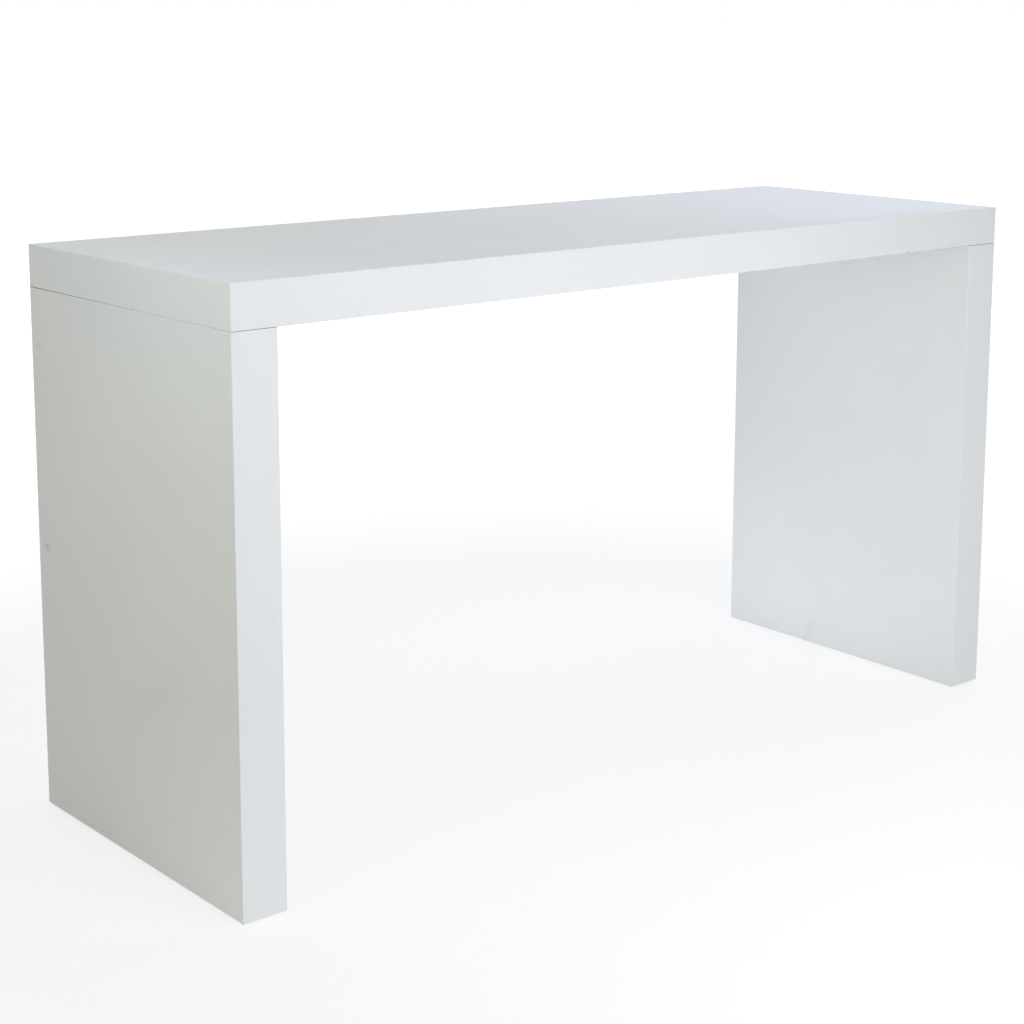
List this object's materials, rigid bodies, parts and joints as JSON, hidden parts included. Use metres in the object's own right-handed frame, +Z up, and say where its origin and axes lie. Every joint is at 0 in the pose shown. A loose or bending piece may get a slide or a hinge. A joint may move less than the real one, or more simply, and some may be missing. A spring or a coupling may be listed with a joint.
{
  "type": "bar table",
  "caption": "Tall bar table: a thick white lacquered top on full-depth panel legs, built as hollow boxes over an inner frame and drawn together by hidden tie rods.",
  "frame": {"origin": "on the floor, under the middle of the top", "axes": "+X along the table to the right seen from the front, +Y from its front to its back, +Z up"},
  "size_m": [2, 0.7, 1.1],
  "materials": {
    "lacquer": "satin white lacquer on fibreboard",
    "softwood": "planed, unfinished",
    "fibreboard": "sawn, unfinished",
    "zinc_steel": "zinc plated",
    "insert_brass": "turned",
    "filler": "satin, lacquered over",
    "glide_plastic": "smooth, matt"
  },
  "bodies": {
    "root": {"worktop_board": "lacquer", "underside_board": "lacquer", "top_front_edge": "lacquer", "top_back_edge": "lacquer", "top_left_edge": "lacquer", "top_right_edge": "lacquer", "left_leg_outer_board": "lacquer", "left_leg_inner_board": "lacquer", "left_leg_front_edge": "lacquer", "left_leg_back_edge": "lacquer", "right_leg_outer_board": "lacquer", "right_leg_inner_board": "lacquer", "right_leg_front_edge": "lacquer", "right_leg_back_edge": "lacquer", "left_fixing_block": "softwood", "right_fixing_block": "softwood", "left_leg_front_stile": "softwood", "left_leg_back_stile": "softwood", "left_leg_head_rail": "softwood", "left_leg_foot_rail": "softwood", "right_leg_front_stile": "softwood", "right_leg_back_stile": "softwood", "right_leg_head_rail": "softwood", "right_leg_foot_rail": "softwood", "alignment_dowels": "softwood", "top_front_rib": "fibreboard", "top_back_rib": "fibreboard", "top_cross_rib_1": "fibreboard", "top_cross_rib_2": "fibreboard", "top_cross_rib_3": "fibreboard", "top_cross_rib_4": "fibreboard", "top_cross_rib_5": "fibreboard", "left_leg_lower_rib": "fibreboard", "left_leg_middle_rib": "fibreboard", "left_leg_upper_rib": "fibreboard", "right_leg_lower_rib": "fibreboard", "right_leg_middle_rib": "fibreboard", "right_leg_upper_rib": "fibreboard", "tie_rods": "zinc_steel", "tie_rod_nuts": "zinc_steel", "tie_rod_washers": "zinc_steel", "leg_screws": "zinc_steel", "glide_screws": "zinc_steel", "insert_nuts": "insert_brass", "filler_plugs": "filler", "floor_glides": "glide_plastic"}
  },
  "joints": []
}
